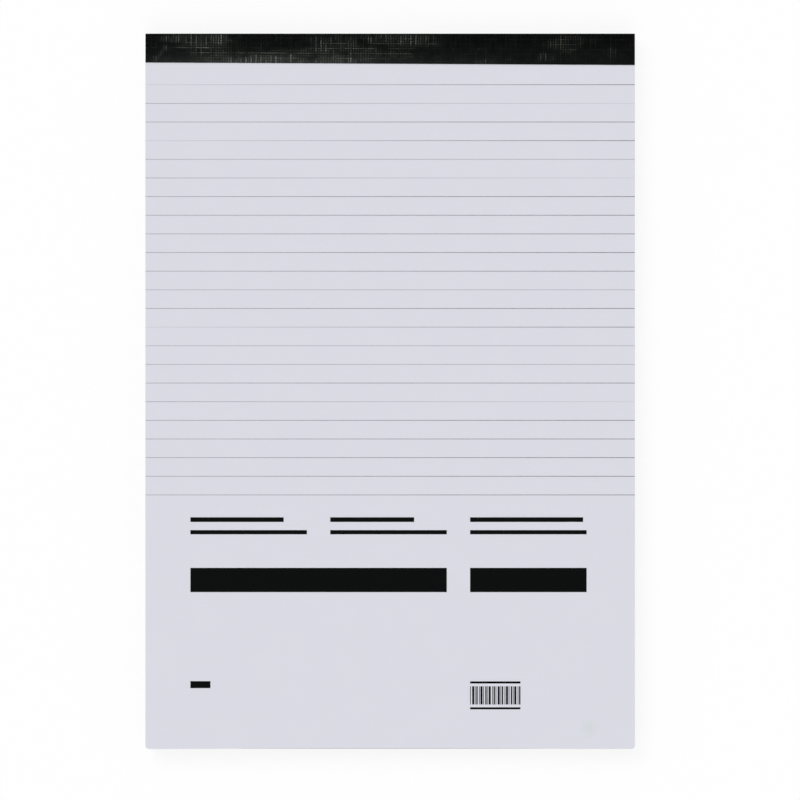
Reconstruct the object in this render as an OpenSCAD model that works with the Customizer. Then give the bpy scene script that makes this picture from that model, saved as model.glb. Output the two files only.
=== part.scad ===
// Head-bound writing pad lying on its back.
// A block of ruled sheets lies on a stiff backing board, under a printed cover sheet.
// A glue film holds the stack along its head, and a tape folds over the head from the front to the back.
// X runs across the page, +Y points to the bound head and +Z is up. The origin is under the middle of the pad.

/* [Pad] */
// Width of the pad
pad_w = 210; // [120:1:300]
// Height of the pad, from its foot to the outside of the bound head
pad_h = 307; // [240:1:420]
// Radius of the two corners at the foot
corner_r = 1.5; // [0.5:0.1:6]

/* [Stack] */
// Number of ruled sheets in the block
sheet_count = 100; // [20:1:200]
// Thickness of one ruled sheet
sheet_t = 0.08; // [0.05:0.005:0.15]
// Sheets that lie flush with each other and make one step in the edge of the block
step_sheets = 5; // [2:1:20]
// Distance that the deepest step stands back from the trimmed edge
edge_jog = 0.15; // [0.02:0.01:0.5]
// Thickness of the printed cover sheet
cover_t = 0.1; // [0.06:0.01:0.4]
// Thickness of the backing board
board_t = 0.9; // [0.5:0.05:3]

/* [Binding] */
// Thickness of the glue film on the head of the stack, and the radius of its two long edges
glue_t = 0.3; // [0.1:0.05:0.6]
// Thickness of the binding tape
tape_t = 0.18; // [0.1:0.01:0.35]
// Depth of the tape on the front, at the middle of its width
tape_front = 13; // [6:0.5:30]
// Depth of the tape on the back, at the middle of its width
tape_back = 13; // [6:0.5:30]
// Difference in the tape's depth between its two ends, because it lies a little askew
tape_skew = 1.1; // [0:0.1:4]

/* [Ruling] */
// Space between the tape and the first ruled line, at the middle of the page
line_start = 9; // [4:0.5:40]
// Distance from one ruled line to the next
line_pitch = 8; // [5:0.5:12]
// Width of a ruled line
line_w = 0.2; // [0.1:0.05:1]
// Thickness of the ink film of the lines and of the title panel
ink_t = 0.02; // [0.01:0.005:0.05]

/* [Title panel] */
// Height of the panel at the foot that has no ruling
panel_h = 105; // [90:1:140]
// Space between the panel's print and the left side of the pad
margin_left = 19.3; // [5:0.1:30]
// Space between the panel's print and the right side of the pad
margin_right = 20.7; // [5:0.1:30]
// Space between the panel's three columns
gutter = 10; // [2:1:20]
// Distance from the top of the panel down to the middle of the captions
caption_drop = 6.6; // [4:0.2:8]
// Thickness of a caption
caption_t = 2; // [0.5:0.1:4]
// Distance from the top of the panel down to the middle of the column rules
rule_drop = 12; // [11:0.5:20]
// Thickness of a column rule
rule_t = 1.8; // [0.5:0.1:3]
// Distance from the top of the panel down to the middle of the title
title_drop = 32.5; // [25:0.5:45]
// Thickness of the title
title_t = 10.4; // [4:0.2:16]
// Height of the size mark above the foot
mark_y = 27.6; // [15:0.2:50]
// Width of the size mark
mark_w = 8.6; // [4:0.2:20]
// Thickness of the size mark
mark_t = 3; // [1:0.2:8]
// Height of the middle of the code stripes above the foot
code_y = 23; // [18:0.5:50]
// Width of the group of code stripes
code_w = 21.6; // [10:0.2:40]
// Length of a code stripe
code_h = 7.8; // [3:0.2:15]
// Number of code stripes
code_stripes = 24; // [6:1:40]
// Thickness of the bar above the code stripes and of the one below them
code_bar_t = 0.9; // [0.5:0.1:2.5]
// Space between the code stripes and the bars above and below them
code_gap = 1.2; // [0.4:0.1:3]

/* [Hidden] */
$fn = 48;

// How far a cutting shape runs past the face that it cuts
overrun = 1;

// How far each step of the block stands back, as shares of the jog, over and over up the stack
jog_shares = [0, 0.6, 0.2, 1, 0.4];
// Places in that list at which the right side and the foot start
jog_start_right = 2;
jog_start_foot = 3;

// Length of each caption, as a share of its column
caption_shares = [0.8, 0.72, 0.97];
// Widths of the code stripes and of the spaces between them, in modules, over and over
stripe_modules = [1, 3, 1, 2];
space_modules = [2, 1, 1];

// Levels of the stack, from the backing board up
block_z = board_t;
block_t = sheet_count * sheet_t;
cover_z = block_z + block_t;
face_z = cover_z + cover_t;

// Outside of the bound head, inside of the tape's back, and head edge of the sheets and the board
head_y = pad_h / 2;
spine_y = head_y - tape_t;
bound_y = spine_y - glue_t;
foot_y = -pad_h / 2;

// Columns of the title panel
columns = len(caption_shares);
column_w = (pad_w - margin_left - margin_right - (columns - 1) * gutter) / columns;

// First ruled line above the foot, and the lines that fit between it and the title panel
first_line_y = pad_h - tape_front - line_start;
lines = floor((first_line_y - panel_h) / line_pitch) + 1;

// Steps in the edge of the block; the last one takes the sheets that are left over
steps = ceil(sheet_count / step_sheets);

paper_colour = [0.85, 0.855, 0.89];
leaf_colour = [0.9, 0.9, 0.88];
board_colour = [0.6, 0.57, 0.52];
glue_colour = [0.86, 0.84, 0.78];
tape_colour = [0.1, 0.105, 0.1];
line_colour = [0.5, 0.5, 0.54];
ink_colour = [0.05, 0.06, 0.065];

// Distance that step i stands back, in a list that starts at a given place
function jog(i, start = 0) = edge_jog * jog_shares[(i + start) % len(jog_shares)];

// Edge of the tape on the front and on the back, at a place across the pad
function front_edge(x) = head_y - tape_front - tape_skew * x / pad_w;
function back_edge(x) = head_y - tape_back + tape_skew * x / pad_w;

// Left side of column i of the title panel, and the width of a run of n columns
function column_x(i) = -pad_w / 2 + margin_left + i * (column_w + gutter);
function columns_w(n) = n * column_w + (n - 1) * gutter;

// Width of stripe i, of the space after it, and how far the first i of both reach, in modules
function stripe(i) = stripe_modules[i % len(stripe_modules)];
function space(i) = space_modules[i % len(space_modules)];
function reach(i) = i == 0 ? 0 : reach(i - 1) + stripe(i - 1) + space(i - 1);

// Outline of a trimmed sheet, with square corners at the head and round ones at the foot
module sheet_outline(left = 0, right = 0, foot = 0) {
    x0 = -pad_w / 2 + left;
    x1 = pad_w / 2 - right;
    y0 = foot_y + foot;
    translate([x0, y0 + corner_r])
        square([x1 - x0, bound_y - y0 - corner_r]);
    translate([x0 + corner_r, y0])
        square([x1 - x0 - 2 * corner_r, corner_r]);
    for (x = [x0 + corner_r, x1 - corner_r])
        translate([x, y0 + corner_r])
            circle(corner_r);
}

// Section through the head, open towards the foot, with its two long edges rounded
module head_section(from_y, to_y, low, high, r) {
    translate([from_y, low])
        square([to_y - r - from_y, high - low]);
    translate([to_y - r, low + r])
        square([r, high - low - 2 * r]);
    for (z = [low + r, high - r])
        translate([to_y - r, z])
            circle(r);
}

// A section in Y and Z, run across the pad
module across(width) {
    rotate([90, 0, 90])
        linear_extrude(width, center = true)
            children();
}

// Everything on the head side of a straight edge that crosses the pad
module head_side(edge_left, edge_right) {
    end_x = pad_w / 2;
    slope = (edge_right - edge_left) / pad_w;
    polygon([
        [-end_x - overrun, edge_left - slope * overrun],
        [end_x + overrun, edge_right + slope * overrun],
        [end_x + overrun, head_y + overrun],
        [-end_x - overrun, head_y + overrun],
    ]);
}

module front_flap_outline() {
    head_side(front_edge(-pad_w / 2), front_edge(pad_w / 2));
}

module back_flap_outline() {
    head_side(back_edge(-pad_w / 2), back_edge(pad_w / 2));
}

// A printed bar on the cover, from its left end and the middle of its height above the foot
module bar(x, y, width, height) {
    translate([x, foot_y + y - height / 2, face_z])
        cube([width, height, ink_t]);
}

// Stiff board, pressed in at the head so that the tape lies flush with its underside
module backing_board() {
    color(board_colour)
        difference() {
            linear_extrude(board_t)
                sheet_outline();
            translate([0, 0, -overrun])
                linear_extrude(overrun + tape_t)
                    back_flap_outline();
        }
}

// The ruled sheets as one block, whose trimmed edges step in and out as the sheets do
module sheet_block() {
    color(leaf_colour)
        for (i = [0 : steps - 1])
            translate([0, 0, block_z + i * step_sheets * sheet_t])
                linear_extrude(min(step_sheets, sheet_count - i * step_sheets) * sheet_t)
                    sheet_outline(jog(i), jog(i, jog_start_right), jog(i, jog_start_foot));
}

// Printed sheet on top of the block
module cover_sheet() {
    color(paper_colour)
        translate([0, 0, cover_z])
            linear_extrude(cover_t)
                sheet_outline();
}

// Glue film between the head of the stack and the tape
module head_glue() {
    color(glue_colour)
        difference() {
            across(pad_w)
                head_section(bound_y - overrun, spine_y, tape_t, face_z, glue_t);
            translate([-pad_w / 2 - overrun, bound_y - 2 * overrun, 0])
                cube([pad_w + 2 * overrun, 2 * overrun, face_z + overrun]);
        }
}

// Tape folded over the head: a flap on the front, the spine, and a flap in the board's pressed strip
module binding_tape() {
    deepest = max(tape_front, tape_back) + tape_skew;
    from_y = head_y - deepest;
    middle_z = face_z / 2;
    color(tape_colour)
        intersection() {
            difference() {
                across(pad_w)
                    head_section(from_y, head_y, 0, face_z + tape_t, glue_t + tape_t);
                across(pad_w + 2 * overrun)
                    head_section(from_y - overrun, spine_y, tape_t, face_z, glue_t);
            }
            union() {
                translate([0, 0, middle_z])
                    linear_extrude(middle_z + tape_t + overrun)
                        front_flap_outline();
                translate([0, 0, -overrun])
                    linear_extrude(overrun + middle_z)
                        back_flap_outline();
            }
        }
}

// Ruling of the cover, which shows how the sheets below are ruled
module ruled_lines() {
    color(line_colour)
        for (i = [0 : lines - 1])
            bar(-pad_w / 2, first_line_y - i * line_pitch, pad_w, line_w);
}

// Print of the panel, all plain bars: captions over the column rules, a title, a size mark and a code
module title_print() {
    module_w = code_w / (reach(code_stripes - 1) + stripe(code_stripes - 1));
    code_x = column_x(columns - 1);
    color(ink_colour) {
        for (i = [0 : columns - 1]) {
            bar(column_x(i), panel_h - caption_drop, caption_shares[i] * column_w, caption_t);
            bar(column_x(i), panel_h - rule_drop, column_w, rule_t);
        }
        bar(column_x(0), panel_h - title_drop, columns_w(columns - 1), title_t);
        bar(code_x, panel_h - title_drop, column_w, title_t);
        bar(column_x(0), mark_y, mark_w, mark_t);
        for (i = [0 : code_stripes - 1])
            bar(code_x + reach(i) * module_w, code_y, stripe(i) * module_w, code_h);
        for (side = [-1, 1])
            bar(code_x, code_y + side * (code_h / 2 + code_gap + code_bar_t / 2), code_w, code_bar_t);
    }
}

backing_board();
sheet_block();
cover_sheet();
head_glue();
binding_tape();
ruled_lines();
title_print();
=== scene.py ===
import math
import random

import bmesh
import bpy
import numpy as np
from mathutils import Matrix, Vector, noise


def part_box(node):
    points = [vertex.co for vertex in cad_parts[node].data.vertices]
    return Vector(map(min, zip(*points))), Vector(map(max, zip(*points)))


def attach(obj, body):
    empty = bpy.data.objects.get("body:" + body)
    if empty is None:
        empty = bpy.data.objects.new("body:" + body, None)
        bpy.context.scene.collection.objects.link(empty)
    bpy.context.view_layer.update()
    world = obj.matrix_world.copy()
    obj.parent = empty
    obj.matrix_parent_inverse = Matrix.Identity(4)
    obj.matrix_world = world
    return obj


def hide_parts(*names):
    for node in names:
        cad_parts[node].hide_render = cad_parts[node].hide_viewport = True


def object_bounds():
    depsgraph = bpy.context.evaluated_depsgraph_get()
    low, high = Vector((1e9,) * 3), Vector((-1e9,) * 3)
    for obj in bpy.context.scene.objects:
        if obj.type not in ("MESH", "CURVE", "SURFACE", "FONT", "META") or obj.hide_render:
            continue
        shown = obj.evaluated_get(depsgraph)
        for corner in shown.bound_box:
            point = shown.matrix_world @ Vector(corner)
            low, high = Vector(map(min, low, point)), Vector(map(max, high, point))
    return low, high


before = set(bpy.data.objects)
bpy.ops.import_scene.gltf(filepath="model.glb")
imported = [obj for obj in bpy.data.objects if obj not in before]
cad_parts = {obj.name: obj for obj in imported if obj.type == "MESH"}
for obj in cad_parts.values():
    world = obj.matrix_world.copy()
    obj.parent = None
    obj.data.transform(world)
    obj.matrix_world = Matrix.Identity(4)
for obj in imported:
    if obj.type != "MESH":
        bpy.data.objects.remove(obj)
cad_low, cad_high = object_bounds()

MM = 0.001
# Points nearer to each other than this are one point
TOUCH = 0.001 * MM
# Start of the random draws
SEED = 11

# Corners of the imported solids
cover_low, cover_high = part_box("cover_sheet")
block_low, block_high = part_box("sheet_block")
tape_low, tape_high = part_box("binding_tape")
glue_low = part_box("head_glue")[0]
ruling_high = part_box("ruled_lines")[1]

# Sizes that follow from them: the pad, its cover and its tape, the radius of the tape's folds, and the lines
# that the folds turn about
pad_w = cover_high.x - cover_low.x
cover_t = cover_high.z - cover_low.z
tape_t = tape_high.z - cover_high.z
fold_r = tape_high.y - glue_low.y
fold_y = tape_high.y - fold_r
fold_high_z = tape_high.z - fold_r
fold_low_z = tape_low.z + fold_r

# Round corners at the foot of the cover and of the sheets
CORNER_R = 1.5 * MM
CORNER_STEPS = 6

# Sheets of the block, and the share of a sheet's thickness that shows as a groove over it
SHEETS = 100
GROOVE_SHARE = 0.12
sheet_t = (block_high.z - block_low.z) / SHEETS

# How far the edges of the sheets stand back at most, in a slow drift and by chance
DRIFT_BACK = 0.12 * MM
CHANCE_BACK = 0.05 * MM

# Columns and rows of the cover's mesh
COVER_COLUMNS = 42
COVER_ROWS = 61

# How far the loose foot of the cover lifts, and the shares of that which are even, a broad wave and a
# slanting wave
COVER_LIFT = 0.3 * MM
EVEN_SHARE = 0.55
BROAD_SHARE = 0.25
SLANT_SHARE = 0.2

# Lengths over which the waves turn by one radian, across the pad and along it, and the angle at which the
# broad one starts
BROAD_WAVE = 31 * MM
BROAD_START = 0.8
SLANT_ACROSS = 19 * MM
SLANT_ALONG = 43 * MM

# How far the foot edge of the cover stands back from the sheets below it at most, and how far that reaches
# up the page and to each side of its middle
SETBACK = 0.35 * MM
SETBACK_DEPTH = 6 * MM
SETBACK_HALF = 76 * MM

# A faint darker, greener spot on the cover: its middle, its size and how much of its colour shows
SPOT_PLACE = (85.2 * MM, -144 * MM, cover_high.z)
SPOT_R = 4.2 * MM
SPOT_SHARE = 0.75

# Distance between ruled lines, and how much ink a line takes at its left and right ends, where it fades and
# where it is thin, from 0 to 1
LINE_PITCH = 8 * MM
INK_LEFT = 0.62
INK_RIGHT = 1.0
INK_FADED = 0.18
INK_THIN = 0.52

# Lines that fade towards one end, and lines that are thin all along, counted from the head
FADES_LEFT = (0, 3, 13)
FADES_RIGHT = (1, 5, 17)
THIN_LINES = (4, 11, 14, 15)

# Linen threads of the tape: how many cross the pad, the mesh's points on each, and where in its cell the
# first one lies
THREADS = 196
THREAD_POINTS = 3
THREAD_SHIFT = 1 / THREAD_POINTS
thread_pitch = pad_w / THREADS

# How strongly threads stand out: every second one is weak, chance adds to each, and each comes and goes on
# its way
WEAK_THREAD = 0.1
STRONG_THREAD = 0.6
THREAD_CHANCE = 0.4
COMING_LEVEL = 0.55
COMING_SWING = 1.3

# Depth of the embossing, the share of it that the faintest thread has, and the share that is left outside
# the patches of painted highlights
RELIEF = 0.06 * MM
FAINT_RIDGE = 0.4
CALM_RELIEF = 0.4

# Steps in each fold of the tape, the parts into which its width is cut first, and how far sideways the normal
# of a face points if the face is one of its cut ends
FOLD_STEPS = 4
COARSE_PARTS = 6
SIDEWAYS = 0.5

# Patches of painted highlights on the front of the tape, in millimetres: the middle, across the pad and down
# from the head, half the width and depth, and how strongly the painted highlights on the threads show there.
# The first list is for the threads that run down the tape, the second for those that run along it
GLINTS_DOWN = [
    (-81.5, 1.8, 16.5, 3.0, 1.15),
    (-77, 7.0, 12, 4.0, 0.35),
    (-54, 11.8, 26, 3.2, 1.4),
    (-24.5, 11.8, 14, 3.0, 1.3),
    (-22.5, 5.6, 16.5, 6.0, 0.6),
    (2.5, 2.0, 19.5, 3.4, 0.65),
    (-6, 8.5, 13, 4.0, 0.28),
    (40, 12.2, 8, 1.6, 0.4),
    (76, 3.6, 10.5, 4.2, 0.3),
    (66.5, 9.6, 4, 2.6, 0.38),
    (95, 8.0, 5, 2.8, 0.26),
    (-96.5, 5.6, 1.4, 1.6, 0.6),
    (-98.4, 8.0, 1.4, 1.6, 0.5),
    (-101, 10.6, 1.4, 1.6, 0.4),
]
GLINTS_ALONG = [
    (-81, 4.8, 15, 1.6, 0.75),
    (-77.5, 8.4, 11.5, 2.6, 0.45),
    (-46, 8.8, 21, 2.5, 0.6),
    (-21.5, 6.3, 15, 5.4, 0.5),
    (4, 4.0, 17, 2.6, 0.5),
    (-2, 8.8, 15, 2.2, 0.38),
    (74, 5.0, 8, 3.2, 0.35),
]

# How steeply painted highlights and painted sheen fade at the rims of these patches, how far the sheen
# reaches past them, how fast it gathers and how much of it shows, and the least painted highlight that the
# rest of the front has
THREAD_RIM = 2.6
SHEEN_RIM = 1.4
SHEEN_REACH = 1.35
SHEEN_POWER = 1.4
SHEEN_SHARE = 0.7
LEAST_GLINT = 0.05

# Painted highlights and sheen on the head and the back, and unevenness of the painted highlights on the
# threads everywhere: the level, and how far it swings
HEAD_PAINTED_LIGHT = 0.3
HEAD_SWING = 0.5
THREAD_LEVEL = 0.85
THREAD_SWING = 0.5

# Painted sheen towards the tape's lower edge: at the left and the right end, and where it starts and is
# full, in millimetres down from the head
EDGE_SHEEN = (0.6, 0.3)
EDGE_SHEEN_DOWN = (3, 12)

# A paler band along the lower edge, added to the painted sheen: between which shares of the width it fades,
# where it starts and is full, in millimetres down from the head, and how fast it gathers
PALE_BAND_ACROSS = (2 / 9, 7 / 9)
PALE_BAND_DOWN = (7.8, 12.2)
PALE_BAND_POWER = 1.3

# Stretches of the tape kept free of painted light: a line along the front fold, in millimetres past its
# start, how far from it the painted light is whole again, the length of the left end, and the share of the
# painted sheen at its very end
BARE_FOLD_LINE = 0.1
BARE_FOLD_HALF = 0.7
BARE_END = 9 * MM
BARE_END_SHARE = 0.35

# A crease near the left end of the tape: its two ends, across the pad and down from the head, and half its
# width, in millimetres, the share of a half wave that its strength leaves out at each end, how far it stands
# up, and how much painted sheen it has
CREASE_ENDS = ((-101.5, 12.6), (-95.5, 4.5))
CREASE_HALF = 0.45
CREASE_CUT = 0.1
CREASE_RISE = 0.04 * MM
CREASE_SHEEN = 0.5

# Noise of each thing that drifts by itself: its level, and the sizes of its cells in two coordinates. These
# are the sheet's number alone for the sides of the block, the place on a thread and the thread's number for
# the linen, and the place on the tape for its painted highlights and sheen
NOISE = {
    "left": (14.6, 9, 1),
    "right": (29.2, 9, 1),
    "foot": (43.8, 9, 1),
    "warp": (42, 6 * MM, 1 / 1.7),
    "weft": (44, 6 * MM, 1 / 1.7),
    "head": (62, 17 * MM, 8 * MM),
    "rims": (64, 5 * MM, 3 * MM),
    "threads": (66, 5 * MM, 3 * MM),
}


# Modelling by hand: choosing a piece and its parts, and finishing it

def choose(piece):
    """Makes a piece the active one and the only one selected."""
    bpy.ops.object.select_all(action="DESELECT")
    piece.select_set(True)
    bpy.context.view_layer.objects.active = piece


def open_piece(piece):
    """Opens a piece in edit mode."""
    choose(piece)
    bpy.ops.object.mode_set(mode="EDIT")


def close_piece():
    bpy.ops.object.mode_set(mode="OBJECT")


def sized(name, width, length):
    """Names the flat primitive that was just added, and puts its size and place into its mesh."""
    piece = bpy.context.object
    piece.name = name
    piece.data.name = name
    piece.scale = (width, length, 1)
    bpy.ops.object.transform_apply(location=True, rotation=True, scale=True)
    return piece


def pick(piece, kind, test):
    """Selects the vertices, edges or faces of an open piece that pass a test, and nothing else."""
    bpy.ops.mesh.select_mode(type=kind)
    bpy.ops.mesh.select_all(action="DESELECT")
    mesh = bmesh.from_edit_mesh(piece.data)
    parts = {"VERT": mesh.verts, "EDGE": mesh.edges, "FACE": mesh.faces}[kind]
    for part in [part for part in parts if test(part)]:
        part.select_set(True)
    bmesh.update_edit_mesh(piece.data)


def middle(edge):
    return (edge.verts[0].co + edge.verts[1].co) / 2


def runs_across(edge):
    """Whether an edge runs across the pad."""
    step = edge.verts[1].co - edge.verts[0].co
    return abs(step.x) > max(abs(step.y), abs(step.z))


def apply_modifier(piece, kind, **settings):
    """Adds a modifier, sets it and applies it."""
    choose(piece)
    modifier = piece.modifiers.new(kind.title(), kind)
    for name, value in settings.items():
        setattr(modifier, name, value)
    bpy.ops.object.modifier_apply(modifier=modifier.name)


def smooth(piece, sharp_angle):
    """Shades a piece smoothly, apart from edges that turn by more than an angle in degrees."""
    choose(piece)
    bpy.ops.object.shade_smooth_by_angle(angle=math.radians(sharp_angle))


def points(piece):
    """A piece's points, as one array."""
    flat = np.zeros(len(piece.data.vertices) * 3)
    piece.data.vertices.foreach_get("co", flat)
    return flat.reshape(-1, 3)


def set_points(piece, places):
    piece.data.vertices.foreach_set("co", places.ravel())
    piece.data.update()


def set_attribute(piece, name, values):
    """Keeps one number for each point of a piece, for its finish to read."""
    attribute = piece.data.attributes.new(name, "FLOAT", "POINT")
    attribute.data.foreach_set("value", np.asarray(values, np.float32))


def drift(thing, first, second):
    """Smooth noise from -1 to 1 over two coordinates, for one of the things that drift."""
    level, first_cell, second_cell = NOISE[thing]
    places = zip(first / first_cell, second / second_cell)
    return np.array([noise.noise(Vector((a, b, level))) for a, b in places])


def hand_over(piece, node, finish):
    """Gives a finished piece its finish, and lets it stand for the solid that it dresses."""
    piece.data.materials.clear()
    piece.data.materials.append(finish)
    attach(piece, "root")
    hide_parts(node)


# Shading

class Wire:
    """A node's output. Arithmetic on wires adds Math nodes to the same tree."""

    def __init__(self, tree, socket=None):
        self.tree = tree
        self.socket = socket

    def node(self, kind, settings=None, inputs=None, output=0):
        """Adds a node, sets its settings and then its sockets, and returns one of its outputs."""
        made = self.tree.nodes.new(kind)
        for name, value in (settings or {}).items():
            if name == "stops":
                self.set_stops(made.color_ramp, value)
            else:
                setattr(made, name, value)
        for name, value in (inputs or {}).items():
            if isinstance(value, Wire):
                self.tree.links.new(value.socket, made.inputs[name])
            else:
                made.inputs[name].default_value = value
        return Wire(self.tree, made.outputs[output] if made.outputs else None)

    def set_stops(self, ramp, stops):
        while len(ramp.elements) < len(stops):
            ramp.elements.new(1)
        for element, (place, level) in zip(ramp.elements, stops):
            element.position = place
            element.color = (level, level, level, 1)

    def math(self, operation, first, second=0.0):
        return self.node("ShaderNodeMath", {"operation": operation}, {0: first, 1: second})

    def clamped(self):
        """A number kept from 0 to 1."""
        return self.node("ShaderNodeClamp", None, {"Value": self})

    def floor(self):
        return self.math("FLOOR", self)

    def larger(self, other):
        return self.math("MAXIMUM", self, other)

    def off_whole(self):
        """How far a number is from the nearest whole one."""
        return self.math("ABSOLUTE", self.math("FRACT", self + 0.5) - 0.5)

    def between(self, low, high):
        """A number from 0 to 1, stretched to run from a low to a high one."""
        return low + self * (high - low)

    def blend(self, other, share):
        """A number mixed with another, which has the given share."""
        return self * (1 - share) + other * share

    def __add__(self, other):
        return self.math("ADD", self, other)

    def __radd__(self, other):
        return self.math("ADD", other, self)

    def __sub__(self, other):
        return self.math("SUBTRACT", self, other)

    def __rsub__(self, other):
        return self.math("SUBTRACT", other, self)

    def __mul__(self, other):
        return self.math("MULTIPLY", self, other)

    def __truediv__(self, other):
        return self.math("DIVIDE", self, other)


def linear(red, green, blue):
    """A colour as it shows on a screen, from 0 to 255, as the light that it stands for."""
    shares = [level / 255 for level in (red, green, blue)]
    light = [share / 12.92 if share <= 0.04045 else ((share + 0.055) / 1.055) ** 2.4 for share in shares]
    return (*light, 1)


class Finish:
    """A material with one surface shader, whose varying sockets are joined to wires."""

    def __init__(self, name, specular, roughness=0.5):
        self.material = bpy.data.materials.new(name)
        self.material.use_nodes = True
        self.tree = self.material.node_tree
        self.shader = self.tree.nodes["Principled BSDF"]
        self.shader.inputs["Specular IOR Level"].default_value = specular
        self.shader.inputs["Roughness"].default_value = roughness
        self.start = Wire(self.tree)

    def coordinates(self, output="Object"):
        return self.start.node("ShaderNodeTexCoord", None, None, output)

    def coordinate(self, places, axis):
        """One coordinate of the surface's places."""
        return self.start.node("ShaderNodeSeparateXYZ", None, {0: places}, axis)

    def distance(self, places, centre):
        """How far the surface's places are from a centre."""
        settings = {"operation": "DISTANCE"}
        return self.start.node("ShaderNodeVectorMath", settings, {0: places, 1: centre}, "Value")

    def stretch(self, places, scale):
        return self.start.node("ShaderNodeMapping", None, {"Vector": places, "Scale": scale})

    def attribute(self, name):
        return self.start.node("ShaderNodeAttribute", {"attribute_name": name}, None, "Fac")

    def grain(self, places, cell, detail=2):
        """Noise from 0 to 1 whose cells are about as large as a given length."""
        inputs = {"Vector": places, "Scale": 1 / cell, "Detail": detail}
        return self.start.node("ShaderNodeTexNoise", None, inputs, "Fac")

    def steps(self, value, *stops):
        """A number put through a ramp of (place, level) stops."""
        return self.start.node("ShaderNodeValToRGB", {"stops": stops}, {"Fac": value})

    def mix(self, share, first, second):
        """Two colours mixed, where a share of 0 or less is the first, and of 1 or more the second."""
        return self.start.node("ShaderNodeMix", {"data_type": "RGBA"}, {0: share, 6: first, 7: second}, 2)

    def join(self, socket, wire):
        self.tree.links.new(wire.socket, self.shader.inputs[socket])

    def roughen(self, height, depth):
        """Tilts the surface's normals as if it were raised by a height times a depth."""
        inputs = {"Height": height, "Distance": depth, "Strength": 1.0}
        self.join("Normal", self.start.node("ShaderNodeBump", None, inputs))


# How much of their colour the dark and the pale flecks of the board have
DARK_FLECKS = 0.35
PALE_FLECKS = 0.3

# How a thread's painted highlight shows between the threads that cross it and on them, how bright the
# painted highlights and the dirt are, how bright the highlights on threads along the tape are beside those
# down it, and how much the painted sheen colours and dulls the tape
CROSSING = (0.55, 1.25)
THREAD_SHINE = 2.7
DIRT_SHINE = 0.2
WEFT_SHARE = 0.8
SHEEN_COLOUR = 0.54
SHEEN_DULLS = 0.08


def cover_paper():
    """Smooth uncoated paper, a cool white, with a faint cloudy look-through, a fine tooth and one faint
    darker, greener spot.
    """
    finish = Finish("cover_paper", specular=0.25, roughness=0.82)
    places = finish.coordinates()
    clouds = finish.grain(places, cell=14 * MM, detail=3)
    fibres = finish.grain(finish.stretch(places, (1, 0.55, 1)), cell=0.55 * MM, detail=3)
    sheet = finish.mix(clouds.blend(fibres, share=0.5), linear(214.5, 215.5, 225), linear(219.5, 220.5, 229))
    ragged = finish.grain(places, cell=2 * MM, detail=3).between(-0.75, 0.75)
    greenish_spot = (1 - finish.distance(places, SPOT_PLACE) / SPOT_R + ragged).clamped()
    finish.join("Base Color", finish.mix(greenish_spot * SPOT_SHARE, sheet, linear(208, 214, 214)))
    finish.roughen(fibres, depth=0.012 * MM)
    return finish.material


def leaf_paper():
    """Trimmed edges of the sheets: dusty, streaked by the blade, and each a little lighter or darker."""
    finish = Finish("leaf_paper", specular=0.2, roughness=0.9)
    places = finish.coordinates()
    sheet = ((finish.coordinate(places, "Z") - block_low.z) / sheet_t).floor()
    shade = finish.start.node("ShaderNodeTexWhiteNoise", {"noise_dimensions": "1D"}, {"W": sheet})
    dust = finish.grain(finish.stretch(places, (1, 1, 4)), cell=3 * MM, detail=4)
    streaks = finish.grain(finish.stretch(places, (1, 1, 0.02)), cell=0.35 * MM)
    share = shade.blend(dust.blend(streaks, share=0.4), share=0.5)
    finish.join("Base Color", finish.mix(share, linear(203, 203, 205), linear(233, 233, 235)))
    finish.roughen(streaks + finish.grain(places, cell=0.12 * MM), depth=0.012 * MM)
    return finish.material


def greyboard():
    """Pulped board: a warm grey with cloudy patches, dark and pale flecks and short fibres."""
    finish = Finish("greyboard", specular=0.15, roughness=0.93)
    places = finish.coordinates()
    clouds = finish.grain(places, cell=9 * MM, detail=4)
    fibres = finish.grain(finish.stretch(places, (1, 0.3, 1)), cell=0.7 * MM, detail=3)
    flecks = finish.grain(places, cell=1.3 * MM, detail=1)
    dark_flecks = finish.steps(flecks, (0.27, 1), (0.33, 0)) * DARK_FLECKS
    pale_flecks = finish.steps(flecks, (0.68, 0), (0.74, 1)) * PALE_FLECKS
    ground = finish.mix(clouds.blend(fibres, share=0.4), linear(138, 131, 120), linear(166, 159, 147))
    ground = finish.mix(dark_flecks, ground, linear(84, 78, 72))
    finish.join("Base Color", finish.mix(pale_flecks, ground, linear(206, 200, 188)))
    finish.roughen(fibres.blend(clouds, share=0.3), depth=0.04 * MM)
    return finish.material


def padding_glue():
    """Dried glue: a smooth, slightly yellow film with soft brush marks along the head."""
    finish = Finish("padding_glue", specular=0.4, roughness=0.45)
    marks = finish.grain(finish.stretch(finish.coordinates(), (0.1, 1, 1)), cell=0.6 * MM, detail=3)
    finish.join("Base Color", finish.mix(marks, linear(216, 208, 188), linear(232, 226, 210)))
    finish.roughen(marks, depth=0.03 * MM)
    return finish.material


def thread_lines(finish, places):
    """Thin, slightly wandering lines on the threads down and along the tape, from 0 between them to 1."""
    width = finish.grain(places, cell=1.6 * MM, detail=1).between(0.08, 0.28)
    lines = []
    for axis, sway in (("X", (0.3, 1, 1)), ("Y", (1, 0.3, 1))):
        wander = finish.grain(finish.stretch(places, sway), cell=1.5 * MM, detail=1).between(-0.2, 0.2)
        thread = finish.coordinate(places, axis) / thread_pitch - THREAD_SHIFT
        lines.append((1 - (thread + wander).off_whole() / width).clamped())
    return lines


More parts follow.
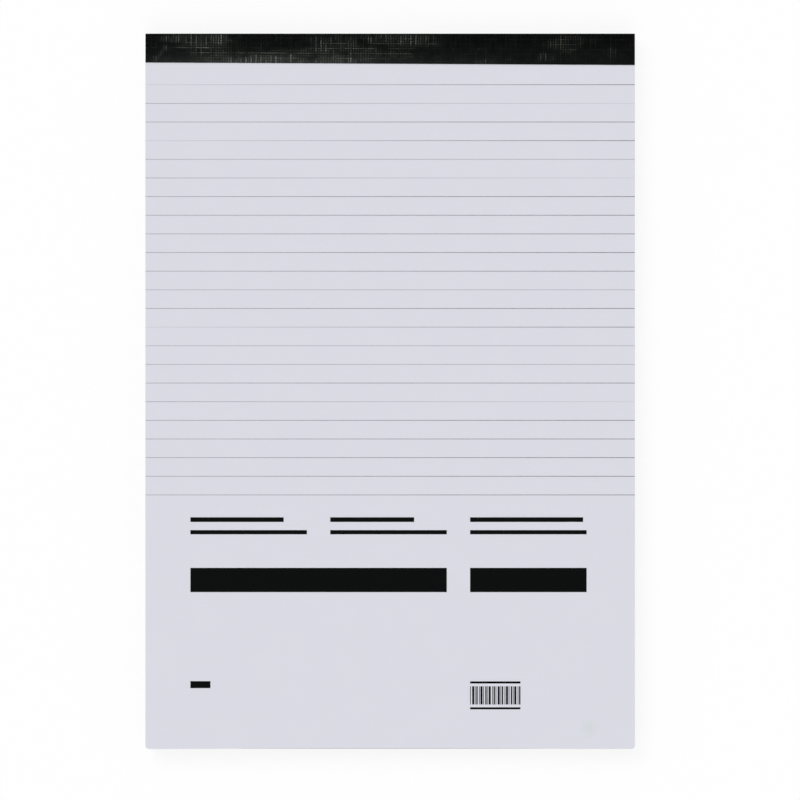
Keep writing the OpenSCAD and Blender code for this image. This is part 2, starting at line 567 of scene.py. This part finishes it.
def tape_cloth():
    """Black linen-embossed tape, with a painted grey sheen and thin painted highlights on its threads in
    patches.
    """
    finish = Finish("tape_cloth", specular=0.09)
    places = finish.coordinates("UV")
    blotches = finish.grain(places, cell=4 * MM, detail=3)
    specks = finish.steps(finish.grain(places, cell=0.42 * MM), (0.36, 0.1), (0.66, 1))
    dirt = finish.steps(finish.grain(places, cell=2.4 * MM, detail=1), (0.6, 0), (0.72, 1))
    warp_line, weft_line = thread_lines(finish, places)

    # Painted highlights on the threads are brightest where they cross, and dirt sits at some of the crossings
    warp = finish.attribute("warp") * warp_line * weft_line.between(*CROSSING)
    weft = finish.attribute("weft") * weft_line * warp_line.between(*CROSSING)
    threads = warp.larger(weft * WEFT_SHARE) * specks * THREAD_SHINE
    bright = threads + warp_line * weft_line * dirt * DIRT_SHINE

    # Painted sheen: a grey laid over the black in patches, which also makes the tape a little rougher
    haze = finish.attribute("haze") * blotches.between(0.3, 1.4)
    ground = finish.mix(blotches, linear(2, 3, 3), linear(6, 7, 7))
    ground = finish.mix(haze * SHEEN_COLOUR, ground, linear(39, 42, 40))
    # Painted highlights on the threads, and the dirt at crossings, in a pale grey
    finish.join("Base Color", finish.mix(bright, ground, linear(146, 151, 138)))
    finish.join("Roughness", blotches.between(0.27, 0.35) + haze * SHEEN_DULLS)
    weave = finish.grain(finish.stretch(places, (1, 0.25, 1)), cell=0.2 * MM, detail=1)
    finish.roughen(weave + warp_line.larger(weft_line), depth=0.012 * MM)
    return finish.material


def ink_grain(finish):
    """The broad patches and the paper's fine tooth, which take more or less of an ink."""
    places = finish.coordinates()
    return finish.grain(places, cell=2.5 * MM, detail=3), finish.grain(places, cell=0.3 * MM)


def title_ink():
    """Black printing ink, a little thinner where the paper's tooth takes less of it."""
    finish = Finish("title_ink", specular=0.05, roughness=0.6)
    patches, tooth = ink_grain(finish)
    finish.join("Base Color", finish.mix(patches.blend(tooth, share=0.4), linear(5, 8, 7), linear(9, 12, 11)))
    finish.roughen(tooth, depth=0.006 * MM)
    return finish.material


def line_ink():
    """Thin grey printing ink, through which the paper shows where little of it is laid on."""
    finish = Finish("line_ink", specular=0.05, roughness=0.75)
    patches, tooth = ink_grain(finish)
    laid_on = finish.attribute("ink") * (patches.between(0.7, 1.1) + tooth * 0.2)
    finish.join("Base Color", finish.mix(laid_on, linear(217, 218, 227), linear(70, 71, 78)))
    finish.roughen(tooth, depth=0.006 * MM)
    return finish.material


# The paper pieces

def lift(x, y):
    """How far the loose cover stands off the block: nothing at the tape, gentle waves towards the foot."""
    free = np.clip((tape_low.y - y) / (tape_low.y - cover_low.y), 0, 1)
    broad = np.sin(x / BROAD_WAVE + BROAD_START)
    slanting = np.sin(x / SLANT_ACROSS + y / SLANT_ALONG)
    return COVER_LIFT * free ** 2 * (EVEN_SHARE + BROAD_SHARE * broad + SLANT_SHARE * slanting)


def setback(x, y):
    """How far the foot edge of the cover stands back from the sheets below it."""
    near = np.clip(1 - (y - cover_low.y) / SETBACK_DEPTH, 0, 1)
    hollow = np.clip(1 - (x / SETBACK_HALF) ** 2, 0, 1)
    return SETBACK * near * np.sqrt(hollow)


def round_foot(piece):
    """Rounds the two corners at the foot of an open flat piece."""
    foot = min(vertex.co.y for vertex in piece.data.vertices)
    side = max(vertex.co.x for vertex in piece.data.vertices)
    pick(piece, "VERT", lambda v: abs(v.co.y - foot) < TOUCH and abs(abs(v.co.x) - side) < TOUCH)
    bpy.ops.mesh.bevel(offset=CORNER_R, segments=CORNER_STEPS, affect="VERTICES")


def make_cover():
    """The printed cover: a thin sheet, loose at the foot."""
    centre = (cover_low + cover_high) / 2
    bpy.ops.object.select_all(action="DESELECT")
    bpy.ops.mesh.primitive_grid_add(x_subdivisions=COVER_COLUMNS, y_subdivisions=COVER_ROWS, size=1,
                                    calc_uvs=False, location=(centre.x, centre.y, cover_high.z))
    cover = sized("cover_paper_sheet", pad_w, cover_high.y - cover_low.y)
    open_piece(cover)
    round_foot(cover)
    close_piece()
    apply_modifier(cover, "SOLIDIFY", thickness=cover_t, offset=-1)
    places = points(cover)
    x, y = places[:, 0], places[:, 1]
    places[:, 2] += lift(x, y)
    places[:, 1] += setback(x, y)
    set_points(cover, places)
    smooth(cover, sharp_angle=40)
    hand_over(cover, "cover_sheet", cover_paper())


def make_print(name, node, finish):
    """Ink on the cover: the solid's own bars, cut where the cover's mesh bends and laid on it."""
    piece = bpy.data.objects.new(name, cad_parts[node].data.copy())
    bpy.context.scene.collection.objects.link(piece)
    columns = np.linspace(cover_low.x, cover_high.x, COVER_COLUMNS + 1)[1:-1]
    rows = np.linspace(cover_low.y, cover_high.y, COVER_ROWS + 1)[1:-1]
    cuts = [((x, 0, 0), (1, 0, 0)) for x in columns] + [((0, y, 0), (0, 1, 0)) for y in rows]
    open_piece(piece)
    bpy.ops.mesh.select_all(action="SELECT")
    bpy.ops.mesh.remove_doubles(threshold=TOUCH)
    for place, direction in cuts:
        bpy.ops.mesh.select_all(action="SELECT")
        bpy.ops.mesh.bisect(plane_co=place, plane_no=direction)
    close_piece()
    places = points(piece)
    places[:, 2] += lift(places[:, 0], places[:, 1])
    set_points(piece, places)
    hand_over(piece, node, finish)
    return piece


def inking(x, y):
    """How much ink the ruled lines take at a place, from 0 to 1."""
    line = np.round((ruling_high.y - y) / LINE_PITCH).astype(int)
    left = np.where(np.isin(line, FADES_LEFT), INK_FADED, INK_LEFT)
    right = np.where(np.isin(line, FADES_RIGHT), INK_FADED, INK_RIGHT)
    to_right = x / pad_w + 0.5
    return np.where(np.isin(line, THIN_LINES), INK_THIN, left + (right - left) * to_right)


def make_ruling():
    """The ruled lines, each with its own amount of ink."""
    ruling = make_print("ruled_ink", "ruled_lines", line_ink())
    places = points(ruling)
    set_attribute(ruling, "ink", inking(places[:, 0], places[:, 1]))


def draw_up_sheets():
    """The block of sheets: one solid, drawn up sheet by sheet, with a fine groove over each."""
    centre = (block_low + block_high) / 2
    bpy.ops.object.select_all(action="DESELECT")
    bpy.ops.mesh.primitive_plane_add(size=1, calc_uvs=False, location=(centre.x, centre.y, block_low.z))
    block = sized("sheet_edges", pad_w, block_high.y - block_low.y)
    open_piece(block)
    round_foot(block)
    pick(block, "FACE", lambda face: True)
    for _ in range(SHEETS):
        for step in (sheet_t * (1 - GROOVE_SHARE), sheet_t * GROOVE_SHARE):
            bpy.ops.mesh.extrude_region_move(TRANSFORM_OT_translate={"value": (0, 0, step)})
    bpy.ops.mesh.select_all(action="SELECT")
    bpy.ops.mesh.normals_make_consistent(inside=False)
    close_piece()
    return block


def make_sheets():
    """The block of sheets, whose edges wander at the left, the right and the foot as a trimmed stack's do."""
    block = draw_up_sheets()
    chance = random.Random(SEED)
    sheets = np.arange(SHEETS + 1)
    back = {}
    for side in ("left", "right", "foot"):
        slow = 0.5 + 0.5 * drift(side, sheets, np.zeros(SHEETS + 1))
        loose = np.array([chance.random() for _ in sheets])
        back[side] = DRIFT_BACK * slow + CHANCE_BACK * loose
    places = points(block)
    x, y, z = places.T.copy()
    sheet = np.floor((z - block_low.z) / sheet_t + GROOVE_SHARE / 2).astype(int).clip(0, SHEETS)
    fan = np.clip((block_high.y - y) / (block_high.y - block_low.y), 0, 1)
    places[:, 0] += fan * np.where(x < 0, back["left"][sheet], -back["right"][sheet])
    places[:, 1] += fan * back["foot"][sheet]
    set_points(block, places)
    hand_over(block, "sheet_block", leaf_paper())


# The binding tape

def flap_corner(side, face_z):
    """Corner of the tape's flap at one end of the pad, on the front or the back, as the solid has it."""
    ends = [v.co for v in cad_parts["binding_tape"].data.vertices
            if abs(v.co.x - side) < TOUCH and abs(v.co.z - face_z) < TOUCH]
    return min(ends, key=lambda corner: corner.y).copy()


def reach_out(y, z):
    """How far a place on the tape lies from the middle line of its folds, and in which direction."""
    out_y = np.maximum(y - fold_y, 0)
    out_z = np.maximum(z - fold_high_z, 0) - np.maximum(fold_low_z - z, 0)
    distance = np.hypot(out_y, out_z)
    return distance, out_y / distance, out_z / distance


def is_outside(y, z):
    """Whether a place lies in the outer half of the tape's thickness."""
    return reach_out(y, z)[0] > fold_r - tape_t / 2


def along_tape(y, z):
    """Distance along the unfolded tape from the start of its front fold, towards the back flap."""
    quarter = fold_r * math.pi / 2
    spine = fold_high_z - fold_low_z
    turn = np.arctan2(np.maximum(y - fold_y, 0), np.maximum(np.maximum(z - fold_high_z, fold_low_z - z), 0))
    front = np.where(y < fold_y, y - fold_y, fold_r * turn)
    back = quarter + spine + np.where(y < fold_y, quarter + fold_y - y, quarter - fold_r * turn)
    return np.where(z >= fold_high_z, front, np.where(z <= fold_low_z, back, quarter + fold_high_z - z))


def painted_patches(x, along, places, rim, reach=1):
    """How strongly a list of patches of painted light shows on the tape, with ragged rims."""
    ragged = drift("rims", x, along)
    cover = np.zeros(len(x))
    for middle_x, down, half_x, half_y, strength in places:
        off = np.hypot((x / MM - middle_x) / half_x, (along / MM + down) / half_y)
        cover = np.maximum(cover, strength * np.clip(rim * (reach - off) + ragged, 0, 1))
    return cover


def painted_light(x, along):
    """How strongly the painted highlights on the threads down and along the tape show, and the painted sheen,
    where 0 is not at all.
    """
    down = -along / MM
    to_right = x / pad_w + 0.5
    elsewhere = np.clip(HEAD_PAINTED_LIGHT + HEAD_SWING * drift("head", x, along), 0, 1)
    uneven = THREAD_LEVEL + THREAD_SWING * drift("threads", x, along)
    off_fold = np.interp(np.abs(down + BARE_FOLD_LINE), (0, BARE_FOLD_HALF), (0, 1))
    off_end = np.interp(x, (cover_low.x, cover_low.x + BARE_END), (BARE_END_SHARE, 1))
    shown = []
    for places in (GLINTS_DOWN, GLINTS_ALONG):
        front = np.maximum(painted_patches(x, along, places, THREAD_RIM), LEAST_GLINT)
        shown.append(np.where(along > 0, elsewhere, front) * uneven * off_fold)
    around = painted_patches(x, along, GLINTS_DOWN + GLINTS_ALONG, SHEEN_RIM, SHEEN_REACH) ** SHEEN_POWER
    haze = SHEEN_SHARE * np.where(along > 0, elsewhere, around)
    haze += np.interp(to_right, (0, 1), EDGE_SHEEN) * np.interp(down, EDGE_SHEEN_DOWN, (0, 1))
    haze += np.interp(to_right, PALE_BAND_ACROSS, (1, 0)) * np.interp(down, PALE_BAND_DOWN, (0, 1)) ** PALE_BAND_POWER
    return (*shown, haze * off_fold * off_end)


def crease(x, along):
    """How strongly the crease shows, from 0 to 1."""
    (x0, down0), (x1, down1) = CREASE_ENDS
    run_x, run_down = x1 - x0, down1 - down0
    off_x, off_down = x / MM - x0, -along / MM - down0
    share = np.clip((off_x * run_x + off_down * run_down) / (run_x ** 2 + run_down ** 2), 0, 1)
    off = np.hypot(off_x - share * run_x, off_down - share * run_down)
    fading = np.sin(math.pi * (CREASE_CUT + (1 - 2 * CREASE_CUT) * share))
    return np.exp(-(off / CREASE_HALF) ** 2) * fading


def linen(across, along):
    """How strongly the threads of each direction stand out, and how high the linen stands, from 0 to 1."""
    chance = random.Random(SEED)
    strengths, ridges = [], []
    for thing, here, there in (("warp", across, along), ("weft", along, across)):
        place = here / thread_pitch - THREAD_SHIFT
        thread = np.round(place).astype(int)
        first = thread.min()
        weights = np.array([(WEAK_THREAD if n % 2 else STRONG_THREAD) + THREAD_CHANCE * chance.random()
                            for n in range(first, thread.max() + 1)])
        coming = np.clip(COMING_LEVEL + COMING_SWING * drift(thing, there, thread), 0, 1)
        strength = weights[thread - first] * coming
        ridge = 0.5 + 0.5 * np.cos(2 * math.pi * (place - thread))
        strengths.append(strength)
        ridges.append(ridge * (FAINT_RIDGE + (1 - FAINT_RIDGE) * strength))
    return (*strengths, np.maximum(*ridges))


def fold_strip():
    """A strip folded down the head and under the board, with flaps as deep as the solid's."""
    depth = tape_high.y - tape_low.y
    bpy.ops.object.select_all(action="DESELECT")
    bpy.ops.mesh.primitive_plane_add(size=1, calc_uvs=False,
                                     location=(0, tape_high.y - depth / 2, tape_high.z))
    tape = sized("linen_tape", pad_w, depth)
    open_piece(tape)
    pick(tape, "EDGE", lambda e: abs(middle(e).y - tape_high.y) < TOUCH)
    for step in ((0, 0, tape_low.z - tape_high.z), (0, -depth, 0)):
        bpy.ops.mesh.extrude_region_move(TRANSFORM_OT_translate={"value": step})
    for side in (cover_low.x, cover_high.x):
        for face_z in (tape_low.z, tape_high.z):
            loose = Vector((side, tape_high.y - depth, face_z))
            pick(tape, "VERT", lambda v, loose=loose: (v.co - loose).length < TOUCH)
            bpy.ops.transform.translate(value=flap_corner(side, face_z) - loose)
    pick(tape, "EDGE", lambda e: runs_across(e) and abs(middle(e).y - tape_high.y) < TOUCH)
    bpy.ops.mesh.bevel(offset=fold_r, segments=FOLD_STEPS, affect="EDGES", clamp_overlap=False)
    close_piece()
    apply_modifier(tape, "SOLIDIFY", thickness=tape_t, offset=-1, use_even_offset=True)
    return tape


def cut_cells(tape):
    """Cuts the outside of the tape into cells, a few to each thread."""
    cell = thread_pitch / THREAD_POINTS
    flap = fold_y - tape_low.y
    flats = [(lambda p: p.z > tape_high.z - TOUCH, flap),
             (lambda p: p.y > tape_high.y - TOUCH, fold_high_z - fold_low_z),
             (lambda p: p.z < tape_low.z + TOUCH, flap)]

    def faces_out(face):
        centre = face.calc_center_median()
        return is_outside(centre.y, centre.z) and abs(face.normal.x) < SIDEWAYS

    open_piece(tape)
    for on_flat, length in flats:
        pick(tape, "EDGE", lambda e, on_flat=on_flat: not runs_across(e)
             and all(on_flat(v.co) for v in e.verts) and any(faces_out(f) for f in e.link_faces))
        bpy.ops.mesh.subdivide(number_cuts=round(length / cell) - 1)
    for parts in (COARSE_PARTS, round(pad_w / cell / COARSE_PARTS)):
        pick(tape, "EDGE", lambda e: runs_across(e) and is_outside(middle(e).y, middle(e).z)
             and any(faces_out(f) for f in e.link_faces))
        bpy.ops.mesh.subdivide(number_cuts=parts - 1)
    close_piece()


def emboss(tape):
    """Presses linen into the tape's outside, raises the crease, and keeps where highlights and sheen are
    painted, and the tape's own map.
    """
    places = points(tape)
    x, y, z = places.T.copy()
    unfolded = along_tape(y, z)
    down, sideways, haze = painted_light(x, unfolded)
    creased = crease(x, unfolded)

    # The threads lie square to the tape's own edges
    askew = (flap_corner(cover_low.x, tape_high.z).y - flap_corner(cover_high.x, tape_high.z).y) / pad_w
    across, along = x - askew * unfolded, unfolded + askew * x
    warp, weft, height = linen(across, along)

    glint_patch = np.clip(np.maximum(down, sideways), 0, 1)
    pressed = RELIEF * (CALM_RELIEF + (1 - CALM_RELIEF) * glint_patch) * (height - 1)
    raised = np.where(is_outside(y, z), pressed + CREASE_RISE * creased, 0)
    _, out_y, out_z = reach_out(y, z)
    places[:, 1] += raised * out_y
    places[:, 2] += raised * out_z
    set_points(tape, places)
    # Strengths of the painted highlights and of the painted sheen, for the finish to read
    set_attribute(tape, "warp", warp * down)
    set_attribute(tape, "weft", weft * sideways)
    set_attribute(tape, "haze", haze + CREASE_SHEEN * creased)

    # The unfolded strip is the tape's own map
    strip = tape.data.uv_layers.new(name="unfolded")
    corners = np.zeros(len(tape.data.loops), int)
    tape.data.loops.foreach_get("vertex_index", corners)
    strip.data.foreach_set("uv", np.stack([across, along], axis=1)[corners].astype(np.float32).ravel())


def make_tape():
    """The binding tape: a strip folded over the head, embossed with linen on its outside."""
    tape = fold_strip()
    cut_cells(tape)
    emboss(tape)
    smooth(tape, sharp_angle=50)
    hand_over(tape, "binding_tape", tape_cloth())


make_sheets()
make_cover()
make_ruling()
make_print("title_ink", "title_print", title_ink())
make_tape()
for node_name, finish_of in (("backing_board", greyboard), ("head_glue", padding_glue)):
    for slot_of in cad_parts[node_name].material_slots:
        slot_of.material = finish_of()


# The stage: a white floor under a soft studio sky, and the camera straight above the pad

# The floor's radius and corners, how far it lies under the pad, its colour, and the share of pure white in it
FLOOR_R = 4
FLOOR_CORNERS = 64
FLOOR_DROP = 0.05 * MM
FLOOR_COLOUR = (0.98, 0.98, 0.98, 1)
FLOOR_WHITE = 0.82

# How bright the sky is, from the horizon, at 0, to the point overhead, at 1
SKY_STOPS = [(0.0, 1.0), (0.35, 1.0), (0.55, 1.09), (0.76, 1.05), (0.9, 0.1), (1.0, 0.05)]

# The lamp's strength, how broad it is, and how it is turned from straight above, in degrees
LAMP_STRENGTH = 1.05
LAMP_BREADTH = 35
LAMP_TURN = (-32, -28, 0)

# The photograph's frame, in its own pixels: its width, and the middle and the height of the pad in it
FRAME_PX = 800
PAD_MIDDLE_PX = (390.15, 391.2)
PAD_HEIGHT_PX = 715.5

# How far the camera is above the cover, and the width of its sensor in millimetres
CAMERA_HEIGHT = 1.2
SENSOR_W = 36


def make_floor():
    """A matt white floor that is seen almost in pure white, and keeps the pad's shadow."""
    bpy.ops.object.select_all(action="DESELECT")
    bpy.ops.mesh.primitive_circle_add(radius=FLOOR_R, vertices=FLOOR_CORNERS, fill_type="NGON",
                                      location=(0, 0, cad_low.z - FLOOR_DROP))
    floor = bpy.context.object
    floor.name = "floor"
    bpy.ops.object.transform_apply(location=True)
    material = bpy.data.materials.new("floor_white")
    material.use_nodes = True
    tree = material.node_tree
    tree.nodes.clear()
    start = Wire(tree)
    camera_ray, glossy_ray, clear_ray = [start.node("ShaderNodeLightPath", None, None, f"Is {kind} Ray")
                                         for kind in ("Camera", "Glossy", "Transmission")]
    seen = camera_ray + glossy_ray + clear_ray
    matt = start.node("ShaderNodeBsdfDiffuse", None, {"Color": FLOOR_COLOUR})
    white = start.node("ShaderNodeEmission", None, {"Color": (1, 1, 1, 1), "Strength": 1.0})
    both = start.node("ShaderNodeMixShader", None, {0: seen * FLOOR_WHITE, 1: matt, 2: white})
    start.node("ShaderNodeOutputMaterial", None, {"Surface": both})
    floor.data.materials.append(material)


def make_sky():
    """A bright ring of soft light round a darker ceiling, so that flat gloss over the pad stays dark."""
    world = bpy.data.worlds.new("studio")
    bpy.context.scene.world = world
    world.use_nodes = True
    tree = world.node_tree
    tree.nodes.clear()
    start = Wire(tree)
    direction = start.node("ShaderNodeTexCoord", None, None, "Generated")
    up = start.node("ShaderNodeSeparateXYZ", None, {0: direction}, "Z")
    ring = start.node("ShaderNodeValToRGB", {"stops": SKY_STOPS}, {"Fac": up})
    shine = start.node("ShaderNodeBackground", None, {"Color": ring, "Strength": 1.0})
    start.node("ShaderNodeOutputWorld", None, {"Surface": shine})


def make_lamp():
    """A broad soft lamp from the upper left."""
    lamp = bpy.data.lights.new("key", "SUN")
    lamp.energy = LAMP_STRENGTH
    lamp.angle = math.radians(LAMP_BREADTH)
    holder = bpy.data.objects.new("key", lamp)
    holder.rotation_euler = [math.radians(turn) for turn in LAMP_TURN]
    bpy.context.scene.collection.objects.link(holder)


def make_camera():
    """A long lens straight above the point that is in the middle of the photograph."""
    metres_per_px = (cad_high.y - cad_low.y) / PAD_HEIGHT_PX
    middle_px = FRAME_PX / 2
    camera = bpy.data.cameras.new("camera")
    camera.sensor_width = SENSOR_W
    camera.lens = SENSOR_W * CAMERA_HEIGHT / (FRAME_PX * metres_per_px)
    holder = bpy.data.objects.new("camera", camera)
    holder.location = ((middle_px - PAD_MIDDLE_PX[0]) * metres_per_px,
                       (PAD_MIDDLE_PX[1] - middle_px) * metres_per_px,
                       cover_high.z + CAMERA_HEIGHT)
    bpy.context.scene.collection.objects.link(holder)
    bpy.context.scene.camera = holder


make_floor()
make_sky()
make_lamp()
make_camera()
bpy.context.scene.view_settings.view_transform = "Standard"
